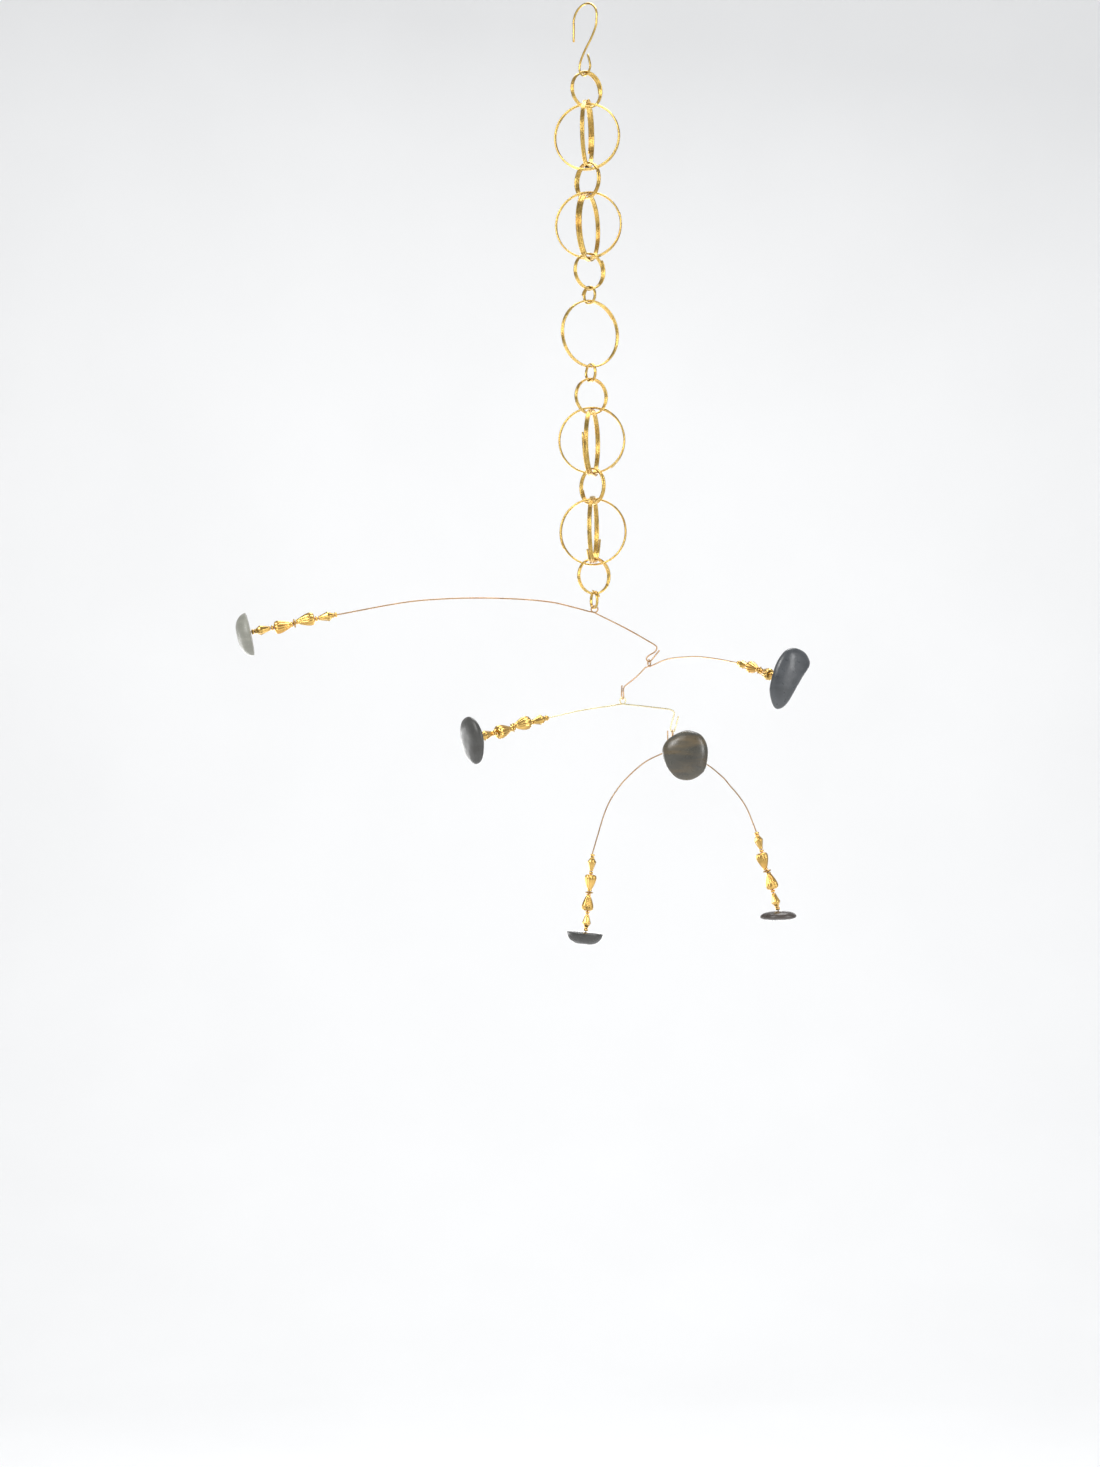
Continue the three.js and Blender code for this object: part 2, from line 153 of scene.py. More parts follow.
def tube(path, radius, side, sides=12):
    """A round wire along a path of points.  Each section stands square to the path, turned by the
    given side direction, and both ends are closed by a low dome."""
    tangent = np.gradient(path, axis=0)
    tangent /= np.linalg.norm(tangent, axis=1, keepdims=True)
    across = np.cross(tangent, side)
    across /= np.linalg.norm(across, axis=1, keepdims=True)
    upward = np.cross(across, tangent)
    angle = np.linspace(0, TAU, sides, endpoint=False)
    ends = DOME_RISE * radius
    first, last = path[0] - tangent[0] * ends, path[-1] + tangent[-1] * ends
    rows = np.concatenate([[first], path, [last]])
    reach = np.full(len(rows), radius)
    reach[[0, -1]] = radius * DOME_WIDTH
    across = across[np.clip(np.arange(-1, len(path) + 1), 0, len(path) - 1)]
    upward = upward[np.clip(np.arange(-1, len(path) + 1), 0, len(path) - 1)]
    ring = np.cos(angle)[None, :, None] * across[:, None,
                                                 :] + np.sin(angle)[None, :, None] * upward[:, None, :]
    points = (rows[:, None, :] + ring * reach[:, None, None]).reshape(-1, 3)
    count = len(rows)
    caps = [np.arange(sides)[::-1], np.arange(sides) + (count - 1) * sides]
    return points, grid_faces(count, sides), caps


def node_points(name):
    """The corner points of a CAD node, as an array."""
    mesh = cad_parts[name].data
    flat = np.empty(len(mesh.vertices) * 3)
    mesh.vertices.foreach_get("co", flat)
    return flat.reshape(-1, 3)


def node_centre(name):
    low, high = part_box(name)
    return (np.array(low) + np.array(high)) / 2


def node_axes(name):
    """The node's own directions, from its thinnest to its longest, as rows."""
    spread = np.unique(np.round(node_points(name), 6), axis=0)
    spread = spread - spread.mean(axis=0)
    return np.linalg.eigh(spread.T @ spread)[1].T


def heading_axis(name):
    """A ring's axis: level, and pointing to the front."""
    axis = node_axes(name)[0]
    axis[2] = 0
    axis /= np.linalg.norm(axis)
    return axis if axis[1] <= 0 else -axis


# ---------- materials ----------
class Nodes:
    """Short calls for putting a material's nodes together."""

    def __init__(self, name):
        self.material = bpy.data.materials.new(name)
        self.material.use_nodes = True
        self.tree = self.material.node_tree
        self.shader = self.tree.nodes["Principled BSDF"]
        self.place = self.tree.nodes.new("ShaderNodeTexCoord").outputs["Object"]

    def noise(self, scale, detail=3.0, stretch=None):
        texture = self.tree.nodes.new("ShaderNodeTexNoise")
        texture.inputs["Scale"].default_value = scale
        texture.inputs["Detail"].default_value = detail
        source = self.place
        if stretch:
            mapping = self.tree.nodes.new("ShaderNodeMapping")
            mapping.inputs["Scale"].default_value = stretch
            self.tree.links.new(source, mapping.inputs["Vector"])
            source = mapping.outputs["Vector"]
        self.tree.links.new(source, texture.inputs["Vector"])
        return texture.outputs["Fac"]

    def ramp(self, value, stops):
        ramp = self.tree.nodes.new("ShaderNodeValToRGB")
        elements = ramp.color_ramp.elements
        while len(elements) < len(stops):
            elements.new(0.5)
        for element, (position, colour) in zip(elements, stops):
            element.position = position
            element.color = (*colour, 1) if len(colour) == 3 else colour
        self.tree.links.new(value, ramp.inputs["Fac"])
        return ramp.outputs["Color"]

    def mix(self, factor, first, second):
        mix = self.tree.nodes.new("ShaderNodeMix")
        mix.data_type = "RGBA"
        for index, value in ((0, factor), (6, first), (7, second)):
            if isinstance(value, bpy.types.NodeSocket):
                self.tree.links.new(value, mix.inputs[index])
            else:
                mix.inputs[index].default_value = value if index == 0 else (*value, 1)
        return mix.outputs[2]

    def bump(self, height, strength, distance):
        bump = self.tree.nodes.new("ShaderNodeBump")
        bump.inputs["Strength"].default_value = strength
        bump.inputs["Distance"].default_value = distance
        self.tree.links.new(height, bump.inputs["Height"])
        self.tree.links.new(bump.outputs["Normal"], self.shader.inputs["Normal"])

    def feed(self, value, socket):
        self.tree.links.new(value, self.shader.inputs[socket])

    def set(self, socket, value):
        self.shader.inputs[socket].default_value = value


def tone(colour, factor):
    return tuple(min(channel * factor, 1.0) for channel in colour)


def aged_metal(name, colour, shine=(0.2, 0.4), age=0.62):
    """Bright metal with cloudy tarnish, and fine handling marks in its gloss and surface."""
    nodes = Nodes(name)
    tarnish = nodes.ramp(nodes.noise(95, 5), [(0.38, tone(colour, 1.08)), (0.72, tone(colour, age))])
    warm = (colour[0] * 0.9, colour[1] * 0.68, colour[2] * 0.55)
    nodes.feed(nodes.mix(nodes.ramp(nodes.noise(38, 3), [(0.5, (0, 0, 0)), (0.75, (0.7, 0.7, 0.7))]),
                         tarnish, warm),
               "Base Color")
    nodes.feed(nodes.ramp(nodes.noise(420, 4), [(0.35, (shine[0],) * 3), (0.75, (shine[1],) * 3)]),
               "Roughness")
    nodes.set("Metallic", 1.0)
    nodes.bump(nodes.noise(1500, 3), 0.12, 0.0002)
    return nodes.material


def river_stone(name, ground, light, rough=0.42, warm=None):
    """Water-worn stone: cloudy ground colour, faint layers, scattered pale specks and fine pits."""
    nodes = Nodes(name)
    cloud = nodes.ramp(nodes.noise(42, 6), [(0.3, ground), (0.62, tone(light, 0.72)), (0.8, light)])
    layer = nodes.ramp(nodes.noise(60, 4, (0.35, 0.35, 2.6)), [(0.45, (0, 0, 0)), (0.7, (0.55, 0.55, 0.55))])
    colour = nodes.mix(layer, cloud, warm or tone(light, 0.9))
    specks = nodes.ramp(nodes.noise(900, 2), [(0.68, (0, 0, 0)), (0.74, (0.5, 0.5, 0.5))])
    nodes.feed(nodes.mix(specks, colour, tone(light, 2.2)), "Base Color")
    nodes.feed(nodes.ramp(nodes.noise(150, 5), [(0.3, (rough - 0.12,) * 3), (0.7, (rough + 0.12,) * 3)]),
               "Roughness")
    nodes.set("Coat Weight", 0.25)
    nodes.set("Coat Roughness", 0.25)
    nodes.bump(nodes.noise(260, 8), 0.35, 0.0005)
    return nodes.material


# ---------- coiled rings ----------
def coil_path(node, kind, number, turns, wire):
    """A helix round the ring's axis: its radius keeps the wire's outside on the ring's, it moves along
    the axis by a wire's width a turn, the turns fan apart on one side, and the cut ends stand out."""
    axis = heading_axis(node)
    right = np.cross(UP, axis)
    right = right if right[0] >= 0 else -right
    centre = node_centre(node)
    low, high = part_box(node)
    outside = (high[2] - low[2]) / 2
    count = int(turns * (60 if kind == "big" else 44))
    share = np.linspace(0, 1, count)
    start = 1.1 + 2.4 * number
    angle = start + share * turns * TAU
    fan = 1 + FAN[kind] * (1 + math.sin(2.1 * number)) * (0.5 - 0.5 * np.cos(angle - 1.7 * number))
    band = (turns - 1) * wire * 1.03
    along = (share - 0.5) * band * fan
    end = np.exp(-share * turns * 14) + np.exp(-(1 - share) * turns * 14)
    radius = outside - wire / 2 - 0.1 * MM + 0.12 * MM * np.sin(angle * 0.5 + number) + END_RISE * end
    along = along + 0.25 * wire * (np.exp(-(1 - share) * turns * 9) - np.exp(-share * turns * 9))
    ring = np.cos(angle)[:, None] * right + np.sin(angle)[:, None] * UP
    return centre + ring * radius[:, None] + along[:, None] * axis, axis


FAN = {"big": 0.16, "small": 0.14, "tiny": 0.1}
END_RISE = 0.7 * MM


class MOBILE_OT_rings(bpy.types.Operator):
    """Wind the coiled rings of the chain"""

    bl_idname = "mobile.rings"
    bl_label = "Coiled rings"

    def execute(self, context):
        sizes, colours = context.scene.mobile_sizes, context.scene.mobile_colours
        brass = aged_metal("ring brass", colours.ring_brass)
        number = 0
        for kind, nodes in RING_NODES.items():
            turns = sizes.tiny_turns if kind == "tiny" else sizes.ring_turns
            for node in nodes:
                number += 1
                path, axis = coil_path(node, kind, number, turns, sizes.ring_wire)
                coil = tube(path, sizes.ring_wire / 2, axis, 12)
                make_piece(f"{node}_coil", [coil], brass, node)
        return {"FINISHED"}


# ---------- bent wires ----------
EYE_RADIUS = 3.3 * MM
EYE_SHIFT = 1.65 * MM
HOOK_TURN = -52


def smooth_path(knots, count):
    """A curve through the knots, its slopes taken from their neighbours, evenly stepped."""
    knots = np.array(knots, float)
    before = np.concatenate([[2 * knots[0] - knots[1]], knots[:-1]])
    after = np.concatenate([knots[1:], [2 * knots[-1] - knots[-2]]])
    slope = (after - before) / 2
    spans = np.linspace(0, len(knots) - 1, count * 4)
    left = np.minimum(spans.astype(int), len(knots) - 2)
    t = (spans - left)[:, None]
    curve = ((2 * t**3 - 3 * t**2 + 1) * knots[left] + (t**3 - 2 * t**2 + t) * slope[left]
             + (3 * t**2 - 2 * t**3) * knots[left + 1] + (t**3 - t**2) * slope[left + 1])
    walked = np.concatenate([[0], np.cumsum(np.linalg.norm(np.diff(curve, axis=0), axis=1))])
    even = np.linspace(0, walked[-1], count)
    return np.stack([np.interp(even, walked, curve[:, column]) for column in range(curve.shape[1])], axis=1)


def eye_turn(count=34):
    """One turn round the eye's centre from the bottom, moving sideways so that the passes lie side by side."""
    share = np.linspace(0, 1, count)
    angle = -math.pi / 2 + TAU * share
    return np.stack([EYE_RADIUS * np.cos(angle), EYE_SHIFT * (share - 0.5), EYE_RADIUS * np.sin(angle)],
                    axis=1)


def flat_path(knots, shift, count):
    path = smooth_path(np.array(knots) * MM, count)
    return np.stack([path[:, 0], np.full(count, shift), path[:, 1]], axis=1)


def joined(*runs):
    """Runs of points end to end, without points that lie closer than a fifth of a millimetre."""
    path = np.concatenate(runs)
    keep = np.concatenate([[True], np.linalg.norm(np.diff(path, axis=0), axis=1) > 0.2 * MM])
    return path[keep]


def placed_like(path, node, turn):
    """The path turned to its heading and moved so that its box has the same middle as the node's."""
    heading = math.radians(turn)
    cosine, sine = math.cos(heading), math.sin(heading)
    turned = path @ np.array([[cosine, sine, 0], [-sine, cosine, 0], [0, 0, 1]])
    middle = (turned.min(axis=0) + turned.max(axis=0)) / 2
    return turned + node_centre(node) - middle, np.array([-sine, cosine, 0])


def string_end(start, slope, scale):
    reach = STRING_LENGTH * scale + PEBBLE_GRIP
    return (start[0] + reach * math.cos(math.radians(slope)),
            start[1] + reach * math.sin(math.radians(slope)))


STRING_LENGTH = 86.3
PEBBLE_GRIP = 4.0
BEFORE = -EYE_SHIFT / 2
AFTER = EYE_SHIFT / 2
ARM_TURNS = {"arm_1": 6, "arm_2": -60.9, "arm_3": 38.5, "arm_4": 89.9, "arch_wire": -0.1}


def arm_1_path():
    start = (-256.4, -6.7)
    arch = [start, (-192.6, 5.4), (-152.6, 9.4), (-112.6, 10.6), (-72.6, 9.5), (-43, 6.7), (-23.5, 2.4),
            (-6, -2.2)]
    hook = [(59.6, -34.6), (63, -37.8), (61.2, -42.2), (55.4, -45.8), (52.6, -48.8), (53.3, -51.4),
            (55.4, -52.3),
            (57.6, -50.8), (65.6, -40.9)]
    return joined(flat_path([string_end(start, 191.6, 1), start], BEFORE, 12), flat_path(arch, BEFORE, 60),
                  eye_turn(),
                  flat_path([(6, -6.4), (32.5, -19.4), (59.6, -34.6)], AFTER, 12), flat_path(hook, AFTER, 48))


def arm_2_path():
    start = (161, -3.6)
    hook = [(-52, -21.5), (-52.8, -32.5), (-50.8, -35.6), (-48.8, -33.2), (-49.4, -26.8), (-47.8, -23.4),
            (-44, -21.3),
            (-23, -13), (-6, -4.2)]
    reach = [(6, -2.1), (24, 1.8), (44, 4), (82, 4.4), (107, 2.8), (132, 0.2), start]
    return joined(flat_path(hook, BEFORE, 60), eye_turn(), flat_path(reach, AFTER, 50),
                  flat_path([start, string_end(start, -12, 0.88)], AFTER, 12))


def arm_3_path():
    start = (-98, -17.9)
    hook = [(64, -8.4), (69.2, -10.3), (70.4, -13.4), (68, -20), (65.3, -27.5), (65.9, -30.8), (68.4, -32),
            (71.2, -29.6), (76.2, -15.6)]
    return joined(flat_path([string_end(start, 192.5, 1.05), start], BEFORE, 12),
                  flat_path([start, (-58, -10.7), (-18, -5.6), (-6, -4)], BEFORE, 36), eye_turn(),
                  flat_path([(6, -3.9), (30, -5.6), (64, -8.4)], AFTER, 12), flat_path(hook, AFTER, 48))


def arm_4_path():
    start = (-28, -13)
    hook = [(84, -12), (89.6, -13.2), (91.4, -15.6), (94, -16.5), (96.4, -14), (98.5, 2.5)]
    return joined(flat_path([string_end(start, 187.5, 1), start], BEFORE, 12),
                  flat_path([start, (-16, -9.5), (-5.5, -4.8)], BEFORE, 14), eye_turn(),
                  flat_path([(6, -4), (50, -8.5), (84, -12)], AFTER, 16), flat_path(hook, AFTER, 36))


def arch_path():
    left, right = (-80.9, -111.4), (94.8, -87.9)
    down = [left, (-75.9, -94.1), (-68.4, -69.5), (-61.4, -53.5), (-50.9, -38), (-42.2, -28.4), (-31, -18.2),
            (-20.3, -10.7), (-6, -4)]
    away = [(6, -3.6), (24, -7.5), (42.2, -16), (58.8, -29.4), (66.6, -38.5), (76.3, -49.9), (85.3, -64.2),
            right]
    return joined(flat_path([string_end(left, -94.8, 0.965), left], BEFORE, 12), flat_path(down, BEFORE, 60),
                  eye_turn(), flat_path(away, AFTER, 60),
                  flat_path([right, string_end(right, -74.4, 1.01)], AFTER, 12))


def hook_path():
    """The S-hook in its own plane: an upper bend that is half an ellipse, a sweeping shank and a round loop."""
    bow = np.radians(np.linspace(190, -10, 40))
    top = np.stack([18.4 * np.cos(bow), 1.1 - 15 + 15 * np.sin(bow)], axis=1)
    loop = np.radians(np.linspace(180, 360, 30))
    low = np.stack([-0.4 + 8.6 * np.cos(loop), -70.2 + 8.6 + 8.6 * np.sin(loop)], axis=1)
    sweep = smooth_path([(18.1, -16.5), (17.2, -24), (9.7, -35), (0, -45), (-7, -54.5), (-9, -61.6)], 30)
    back = smooth_path([(-18.3, -33), (-18.2, -24), (-18.1, -16.5)], 8)
    tip = smooth_path([(8.2, -61.6), (6.6, -56), (4.2, -50.5)], 8)
    flat = np.concatenate([back, top, sweep[1:-1], low, tip]) * MM
    return joined(np.stack([flat[:, 0], np.zeros(len(flat)), flat[:, 1]], axis=1))


class MOBILE_OT_wires(bpy.types.Operator):
    """Bend the S-hook, the four arms and the arch"""

    bl_idname = "mobile.wires"
    bl_label = "Hook and arms"

    def execute(self, context):
        sizes, colours = context.scene.mobile_sizes, context.scene.mobile_colours
        copper = aged_metal("arm wire", colours.arm_brass, (0.25, 0.42), 0.7)
        pale = aged_metal("pale wire", colours.pale_wire, (0.25, 0.4), 0.8)
        olive = aged_metal("arch wire", tone(colours.arm_brass, 0.8), (0.3, 0.45), 0.7)
        yellow = aged_metal("hook wire", colours.ring_brass, (0.22, 0.38), 0.7)
        path, side = placed_like(hook_path(), "s_hook", HOOK_TURN)
        make_piece("s_hook_wire", [tube(path, sizes.hook_wire / 2, side, 16)], yellow, "s_hook")
        for node, shape, metal in (("arm_1", arm_1_path, copper), ("arm_2", arm_2_path, copper),
                                   ("arm_3", arm_3_path, pale), ("arm_4", arm_4_path, copper),
                                   ("arch_wire", arch_path, olive)):
            path, side = placed_like(shape(), node, ARM_TURNS[node])
            make_piece(f"{node}_bent", [tube(path, sizes.arm_wire / 2, side, 10)], metal, node)
        return {"FINISHED"}


# ---------- beads ----------
# Each profile is (distance along the wire, radius) in millimetres, for a bead of full size.
SEED = [(0, 1.0), (0.1, 1.9), (0.6, 2.45), (1.4, 2.65), (2.2, 2.45), (2.7, 1.9), (2.8, 1.0)]
BICONE = [(3.0, 1.0), (3.0, 2.0), (3.5, 2.45), (4.1, 2.45), (4.5, 2.25), (4.9, 2.55), (8.6, 4.75), (9.3, 4.8),
          (9.9, 4.55), (16.9, 2.5), (17.3, 2.2), (17.7, 2.5), (18.3, 2.5), (18.7, 2.1), (18.7, 1.0)]
DROP = [(0, 1.0), (0, 2.5), (0.35, 4.3), (1.3, 5.75), (2.8, 6.4), (4.8, 6.5), (8, 5.9), (12, 4.5),
        (15.2, 3.15),
        (17, 2.5), (17.5, 2.75), (18.2, 2.75), (18.7, 2.2), (18.7, 1.0)]
SPACER = [(0.1, 1.0), (0.1, 2.0), (0.5, 2.6), (0.9, 4.2), (1.4, 4.6), (1.9, 4.2), (2.3, 2.6), (2.7, 2.0),
          (2.7, 1.0)]
CAD_LENGTH = {"bicone": 22.3, "drop": 18.7, "disc": 2.8}
PETALS = 7


def turned_bead(profile, count, ridges, depth, span, place, sides):
    """A profile turned about the wire.  Between the stations of span its radius is cut by depth times
    the bare sine of half the ridge count times the angle, which leaves sharp ridges.  The last row runs
    back through the bore, so the surface closes on itself."""
    start, axis, first, second, scale = place
    profile = np.array(profile, float)
    if count:
        outside = smooth_path(profile[1:-1], count)
        profile = np.concatenate([profile[:1], outside, profile[-1:]])
    angle = np.linspace(0, TAU, sides, endpoint=False)
    fade = np.clip(np.minimum(profile[:, 0] - span[0],
                              span[1] - profile[:, 0]) / (0.12 * (span[1] - span[0])), 0, 1)
    cut = 1 - depth * fade[:, None] * np.abs(np.sin(angle * ridges / 2))[None, :]
    reach = profile[:, 1][:, None] * cut * scale * MM
    along = profile[:, 0][:, None] * scale * MM
    spoke = np.cos(angle)[:, None] * first + np.sin(angle)[:, None] * second
    points = start + along[..., None] * axis + reach[..., None] * spoke[None, :, :]
    return points.reshape(-1, 3), grid_faces(len(profile), sides, close_rows=True)[:, ::-1], []


def flipped(profile, length):
    return [(length - along, radius) for along, radius in reversed(profile)]


def bead_place(string, node):
    """Where a bead starts on its wire, the wire's direction there and the bead's scale."""
    axis = node_centre(f"{string}_bicone_2") - node_centre(f"{string}_bicone_1")
    axis /= np.linalg.norm(axis)
    first = np.cross(axis, UP if abs(axis[2]) < 0.8 else np.array([1.0, 0, 0]))
    first /= np.linalg.norm(first)
    reach = (node_points(node) - node_centre(node)) @ axis
    start = node_centre(node) + axis * reach.min()
    length = CAD_LENGTH[node[len(string) + 1:].rsplit("_", 1)[0] if node[-1].isdigit() else "disc"]
    return start, axis, first, np.cross(axis, first), (reach.max() - reach.min()) / (length * MM)


class MOBILE_OT_beads(bpy.types.Operator):
    """Turn the bicones, drops, spacers and seed beads of the six strings"""

    bl_idname = "mobile.beads"
    bl_label = "Bead strings"

    def execute(self, context):
        sizes, colours = context.scene.mobile_sizes, context.scene.mobile_colours
        gold = aged_metal("bead brass", colours.bead_brass, (0.14, 0.3), 0.55)
        dark = aged_metal("spacer brass", tone(colours.bead_brass, 0.75), (0.2, 0.4), 0.5)
        for string in STRINGS:
            for number in (1, 2):
                node = f"{string}_bicone_{number}"
                self.bicone(node, bead_place(string, node), number == 2, sizes.bicone_ridges, gold)
                node = f"{string}_drop_{number}"
                self.drop(node, bead_place(string, node), number == 2, sizes.drop_flutes, gold)
            node = f"{string}_disc"
            spacer = turned_bead(SPACER, 0, PETALS, 0.3, (0.3, 2.5), bead_place(string, node), 84)
            make_piece(f"{node}_spacer", [spacer], dark, node)
        return {"FINISHED"}

    def bicone(self, node, place, flip, ridges, metal):
        length = CAD_LENGTH["bicone"]
        late_seed = [(along + length - 2.9, radius * 0.96) for along, radius in SEED]
        body, span = BICONE, (4.6, 17.1)
        parts = [SEED, late_seed]
        if flip:
            body, span = flipped(BICONE, length), (length - 17.1, length - 4.6)
            parts = [flipped(part, length) for part in parts]
        pieces = [turned_bead(part, 14, 1, 0, (0, 1), place, 32) for part in parts]
        pieces.append(turned_bead(body, 0, ridges, 0.17, span, place, 8 * ridges))
        make_piece(f"{node}_cut", pieces, metal, node)

    def drop(self, node, place, flip, flutes, metal):
        length = CAD_LENGTH["drop"]
        body, span = (flipped(DROP, length), (length - 16.9, length - 0.3)) if flip else (DROP, (0.3, 16.9))
        shape = turned_bead(body, 40, flutes, 0.085, span, place, 8 * flutes)
        make_piece(f"{node}_fluted", [shape], metal, node)


# ---------- pebbles ----------
# Per pebble, in millimetres: its rim as (across, up) points round the drilled hole, seen from outside,
# the rise of its outer face and of its inner back, and how uneven and how ridged its outer face is.
PEBBLES = {
    "left": {"rim": [(0, 19.5), (-10, 16.5), (-16, 6), (-16.5, -6), (-11, -18), (0, -23.5), (11, -18),
                     (17, -5),
                     (15, 8), (9, 16.5)], "face": 13, "back": 1.8, "lumps": 0.5, "ridge": 0.5},
    "right": {"rim": [(5, 29), (-4, 26), (-11.5, 15), (-15, 0), (-15.5, -13), (-9.5, -26), (-3, -28.5),
                      (4, -23.5),
                      (11.5, -10), (18, 2), (24.5, 13.5), (22, 20.5), (16, 26)],
              "face": 8, "back": 5, "lumps": 0.35, "ridge": 0.35},
    "centre": {"rim": [(-1, 22), (-10.5, 17.5), (-15.5, 6), (-16, -7), (-11.5, -19), (-2, -25.3), (8, -21.5),
                       (14.5, -10), (16.5, 3), (13, 14), (7, 20)], "face": 6.5, "back": 5.5, "lumps": 0.3,
               "ridge": 0},
    "front": {"rim": [(10.8, 27.8), (3.3, 27), (-8.1, 21.3), (-14.8, 13.8), (-16.4, 4.3), (-11.9, -8.9),
                      (-2.5, -19.4), (10.8, -22), (24, -14.5), (28.2, -3.2), (28.2, 11.9), (22.1, 23.2)],
              "face": 9, "back": 5, "lumps": 0.3, "ridge": 0},
    "low_left": {"rim": [(15, -2), (12, 10), (5, 17), (-2, 18.2), (-10, 12), (-14, 1), (-13, -10), (-5, -19),
                         (3, -20.3), (12, -13)], "face": 12.5, "back": 1.8, "lumps": 0.6, "ridge": 0.3},
    "low_right": {"rim": [(13, 0), (10, 11), (2, 18), (-8, 14), (-13, 3), (-11.5, -10), (-3, -19.5),
                          (2, -20.8),
                          (10.5, -11)], "face": 4, "back": 6.3, "lumps": 0.4, "ridge": 0.2},
}
NOD = {"low_right": 14}                # degrees by which a pebble is tilted against its wire
HANGING = ("low_left", "low_right")    # strings that hang straight down
FULLNESS = 0.8                         # below 1, the domes are fuller than an ellipse
LUMP_RISE = 0.05                       # share of the rise that full lumps take away
RIDGE_RISE = 3.2                       # millimetres that a full ridge falls off to its sides


def pebble_frame(string):
    """The pebble's directions: out along the wire, to the side and up, as rows.  A pebble on a hanging
    string has its up direction to the right."""
    wire = node_centre(f"{string}_bicone_2") - node_centre(f"{string}_bicone_1")
    out = wire / np.linalg.norm(wire)
    near = np.array([1.0, 0, 0]) if string in HANGING else UP
    up = near - out * (near @ out)
    up /= np.linalg.norm(up)
    nod = math.radians(NOD.get(string, 0))
    out, up = (math.cos(nod) * out - math.sin(nod) * up, math.cos(nod) * up + math.sin(nod) * out)
    return out, np.cross(up, out), up


def closed_curve(knots, count):
    """A smooth closed curve through the knots, evenly stepped: cubic spans whose slopes are half the
    way between the neighbouring knots."""
    knots = np.array(knots, float)
    slope = (np.roll(knots, -1, axis=0) - np.roll(knots, 1, axis=0)) / 2
    spans = np.linspace(0, len(knots), 40 * len(knots), endpoint=False)
    left = spans.astype(int)
    right = (left + 1) % len(knots)
    t = (spans - left)[:, None]
    curve = ((2 * t**3 - 3 * t**2 + 1) * knots[left] + (t**3 - 2 * t**2 + t) * slope[left]
             + (3 * t**2 - 2 * t**3) * knots[right] + (t**3 - t**2) * slope[right])
    loop = np.concatenate([curve, curve[:1]])
    walked = np.concatenate([[0], np.cumsum(np.linalg.norm(np.diff(loop, axis=0), axis=1))])
    even = np.linspace(0, walked[-1], count, endpoint=False)
    return np.stack([np.interp(even, walked, loop[:, column]) for column in (0, 1)], axis=1)


def pebble_shape(string, around=96, rows=48):
    """A grid of points round the rim and from the outer face's middle to the back's: the spread from
    the middle is the sine of the polar angle to the power of FULLNESS, the height is its cosine times the
    rise of the face or the back.  Low lumps and a soft ridge run over the outer face."""
    look = PEBBLES[string]
    out, aside, up = pebble_frame(string)
    edge = closed_curve(look["rim"], around)
    middle = edge.mean(axis=0)
    polar = np.linspace(0, math.pi, rows + 2)[1:-1]
    spread = np.sin(polar)[:, None, None] ** FULLNESS
    flat = middle + (edge - middle)[None] * spread
    unit = (flat - middle) / np.abs(edge - middle).max()
    height = np.cos(polar)[:, None] * np.where(np.cos(polar) > 0, look["face"], look["back"])[:, None]
    lumps = (np.sin(3.1 * unit[..., 1] + 2.3 * unit[...,
                                                    0] + 1.1) * np.sin(2.7 * unit[..., 0] - 1.9 * unit[..., 1])
             + 0.5 * np.sin(6.3 * unit[..., 1] - 4.1 * unit[..., 0] + 0.4))
    crease = np.abs(unit[..., 0] * 0.9 + 0.25 * unit[..., 1] - 0.12)
    soft = np.clip(height, 0, None) / look["face"]
    height = height * (1 - LUMP_RISE * look["lumps"] * (1 + lumps)) - look["ridge"] * RIDGE_RISE * soft * crease
    local = np.stack([height, flat[..., 0], flat[..., 1]], axis=-1).reshape(-1, 3)
    poles = np.stack([local[:around].mean(axis=0), local[-around:].mean(axis=0)])
    points = np.concatenate([local, poles]) * MM @ np.stack([out, aside, up])
    solid = node_points(f"{string}_pebble")
    for direction in (out, aside, up):
        low, high = (solid @ direction).min(), (solid @ direction).max()
        reach = points @ direction
        points += direction * ((low + high) / 2 - (reach.min() + reach.max()) / 2)
    last = (rows - 1) * around
    here = np.arange(around)
    after = (here + 1) % around
    caps = [[around * rows, a, b] for a, b in zip(here, after)]
    caps += [[around * rows + 1, last + b, last + a] for a, b in zip(here, after)]
    return points, grid_faces(rows, around)[:, ::-1], caps


class MOBILE_OT_pebbles(bpy.types.Operator):
    """Shape and finish the six pebbles"""

    bl_idname = "mobile.pebbles"
    bl_label = "Pebbles"

    def execute(self, context):
        colours = context.scene.mobile_colours
        dark, pale = colours.dark_stone, colours.pale_stone
        finishes = {
            "left": ("pale_stone", river_stone("grey green stone", pale, tone(pale, 1.6), 0.5)),
            "right": ("dark_stone", river_stone("slate", (0.03, 0.034, 0.038), (0.085, 0.092, 0.10), 0.34)),
            "centre": ("dark_stone", river_stone("dark stone", dark, (0.07, 0.07, 0.065), 0.42)),
            "front": ("dark_stone",
                      river_stone("olive stone", dark, (0.09, 0.085, 0.065), 0.32, (0.16, 0.11, 0.05))),
            "low_left": ("dark_stone",
                         river_stone("black stone", tone(dark, 0.7), (0.06, 0.06, 0.055), 0.26)),
            "low_right": ("dark_stone",
                          river_stone("brown stone", (0.035, 0.026, 0.022), (0.08, 0.065, 0.055), 0.32)),
        }
        for string, (slot, finish) in finishes.items():
            make_piece(f"{string}_worn_pebble", [pebble_shape(string)], finish, f"{string}_pebble")
        return {"FINISHED"}


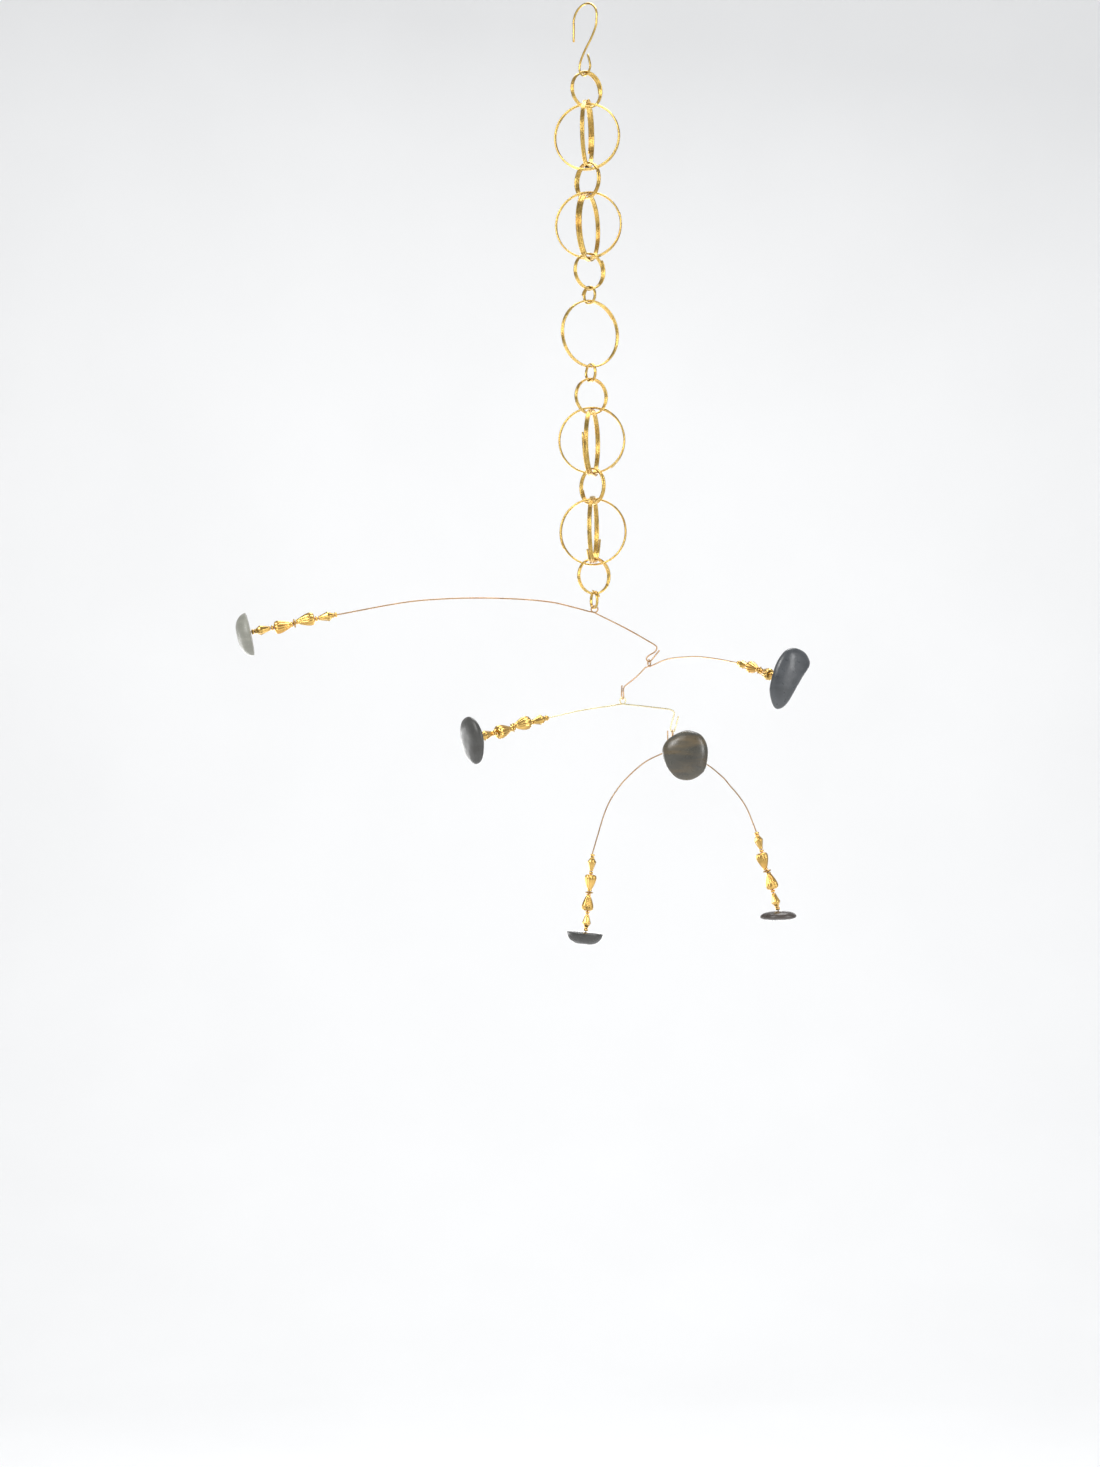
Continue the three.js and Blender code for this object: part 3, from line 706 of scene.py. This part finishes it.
# ---------- stage ----------
class MOBILE_OT_stage(bpy.types.Operator):
    """Set up the floor, the lights and the camera"""

    bl_idname = "mobile.stage"
    bl_label = "Stage"

    def execute(self, context):
        depth = np.concatenate([[-4.0], [1.4], 1.4 + 1.2 * np.sin(np.linspace(0, math.pi / 2, 20)), [2.6]])
        height = np.concatenate([[FLOOR], [FLOOR],
                                 FLOOR + 1.2 * (1 - np.cos(np.linspace(0, math.pi / 2, 20))), [3.0]])
        side = np.linspace(-5, 5, 2)
        points = np.stack([np.tile(side, len(depth)), np.repeat(depth, 2), np.repeat(height, 2)], axis=1)
        mesh = bpy.data.meshes.new("floor")
        mesh.from_pydata(points.tolist(), [], grid_faces(len(depth), 2, close_columns=False).tolist())
        mesh.shade_smooth()
        floor = bpy.data.objects.new("floor", mesh)
        context.scene.collection.objects.link(floor)
        paper = Nodes("white paper")
        paper.feed(paper.ramp(paper.noise(3, 2), [(0.3, (0.86, 0.86, 0.86)), (0.7, (0.88, 0.88, 0.88))]),
                   "Base Color")
        paper.set("Roughness", 0.9)
        mesh.materials.append(paper.material)
        self.lights(context)
        self.camera(context)
        return {"FINISHED"}

    def lights(self, context):
        aim = np.array([0.0, 0.0, -0.55])
        for name, place, size, power, tint in LIGHTS:
            light = bpy.data.lights.new(name, "AREA")
            light.shape = "RECTANGLE"
            light.size, light.size_y = size
            light.energy = power
            light.color = tint
            lamp = bpy.data.objects.new(name, light)
            lamp.location = place
            direction = aim - np.array(place)
            lamp.rotation_euler = (
                math.atan2(math.hypot(direction[0], direction[1]), -direction[2]),
                0,
                math.atan2(direction[0], -direction[1]) + math.pi,
            )
            context.scene.collection.objects.link(lamp)
        world = bpy.data.worlds.new("soft room")
        world.use_nodes = True
        world.node_tree.nodes["Background"].inputs["Color"].default_value = (0.9, 0.92, 0.95, 1)
        world.node_tree.nodes["Background"].inputs["Strength"].default_value = 0.55
        context.scene.world = world
        context.scene.view_settings.view_transform = "Standard"

    def camera(self, context):
        lens = bpy.data.cameras.new("camera")
        lens.sensor_fit = "VERTICAL"
        lens.sensor_height = 36
        lens.lens = CAMERA_LENS
        lens.clip_end = 30
        camera = bpy.data.objects.new("camera", lens)
        camera.location = CAMERA_PLACE
        camera.rotation_euler = (math.pi / 2, 0, 0)
        context.scene.collection.objects.link(camera)
        context.scene.camera = camera


FLOOR = -1.75
CAMERA_PLACE = (-0.035, -2.6, -0.7285)
CAMERA_LENS = 63.8
LIGHTS = (
    ("key light", (-1.6, -2.4, 0.6), (1.3, 1.6), 60, (1.0, 0.99, 0.97)),
    ("fill light", (2.2, -1.6, -0.4), (0.8, 2.0), 30, (1.0, 1.0, 1.0)),
    ("top light", (0.2, 0.6, 1.3), (1.6, 1.0), 40, (1.0, 1.0, 1.0)),
    ("back light", (-0.4, 0.9, -1.0), (3.0, 0.5), 20, (1.0, 1.0, 1.0)),
)


class MOBILE_PT_panel(bpy.types.Panel):
    """Buttons for every piece of the mobile"""

    bl_idname = "MOBILE_PT_panel"
    bl_label = "Hanging mobile"
    bl_space_type = "VIEW_3D"
    bl_region_type = "UI"
    bl_category = "Mobile"

    def draw(self, context):
        for operator in OPERATORS:
            self.layout.operator(operator.bl_idname)


OPERATORS = (MOBILE_OT_stage, MOBILE_OT_wires, MOBILE_OT_rings, MOBILE_OT_beads, MOBILE_OT_pebbles)
CLASSES = (MOBILE_PG_sizes, MOBILE_PG_colours, *OPERATORS, MOBILE_PT_panel)


def register():
    for item in CLASSES:
        bpy.utils.register_class(item)
    bpy.types.Scene.mobile_sizes = bpy.props.PointerProperty(type=MOBILE_PG_sizes)
    bpy.types.Scene.mobile_colours = bpy.props.PointerProperty(type=MOBILE_PG_colours)


def unregister():
    del bpy.types.Scene.mobile_colours
    del bpy.types.Scene.mobile_sizes
    for item in reversed(CLASSES):
        bpy.utils.unregister_class(item)


def main():
    register()
    bpy.ops.mobile.stage()
    bpy.ops.mobile.wires()
    bpy.ops.mobile.rings()
    bpy.ops.mobile.beads()
    bpy.ops.mobile.pebbles()


if __name__ == "__main__":
    main()
